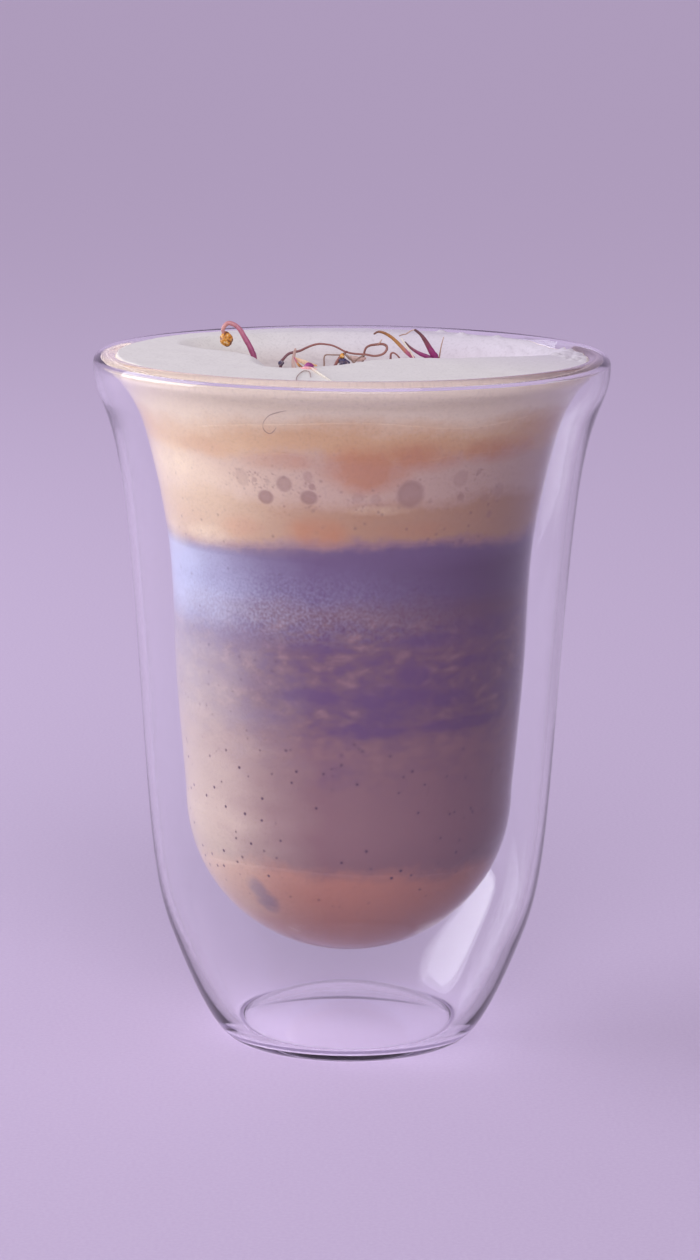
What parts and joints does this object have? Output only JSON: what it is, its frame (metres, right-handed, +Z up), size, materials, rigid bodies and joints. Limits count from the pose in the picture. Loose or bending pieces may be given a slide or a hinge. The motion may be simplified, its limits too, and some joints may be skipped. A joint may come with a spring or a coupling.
{
  "type": "layered latte in a double-walled glass",
  "caption": "Tall flared insulated glass holding a latte in violet, caramel and foam layers, with a hollow in the foam and curled sprouts on it.",
  "frame": {"origin": "middle of the foot ring, on the surface that the glass stands on", "axes": "+Z up along the glass's axis, -Y the front as pictured, +X to its right"},
  "size_m": [0.09, 0.09, 0.1259],
  "materials": {
    "clear_glass": "clear polished blown glass",
    "milk_foam": "fine dense milk foam",
    "coffee_milk": "caramel-coloured frothy milk coffee",
    "ube_milk": "pale violet milk",
    "marbled_milk": "mauve milk marbled with violet",
    "milk_mix": "rose-brown milk with fine specks",
    "coffee_base": "peach-brown sweet milk coffee",
    "sprout_stem": "pink to magenta plant stem",
    "sprout_tendril": "thin brown plant tendril"
  },
  "bodies": {
    "root": {"glass": "clear_glass", "foam_top": "milk_foam", "caramel_upper": "coffee_milk", "foam_middle": "milk_foam", "caramel_lower": "coffee_milk", "ube_layer": "ube_milk", "marbled_layer": "marbled_milk", "milk_layer": "milk_mix", "bottom_layer": "coffee_base", "garnish_left": "sprout_stem", "garnish_middle": "sprout_tendril", "garnish_right": "sprout_stem"}
  },
  "joints": []
}
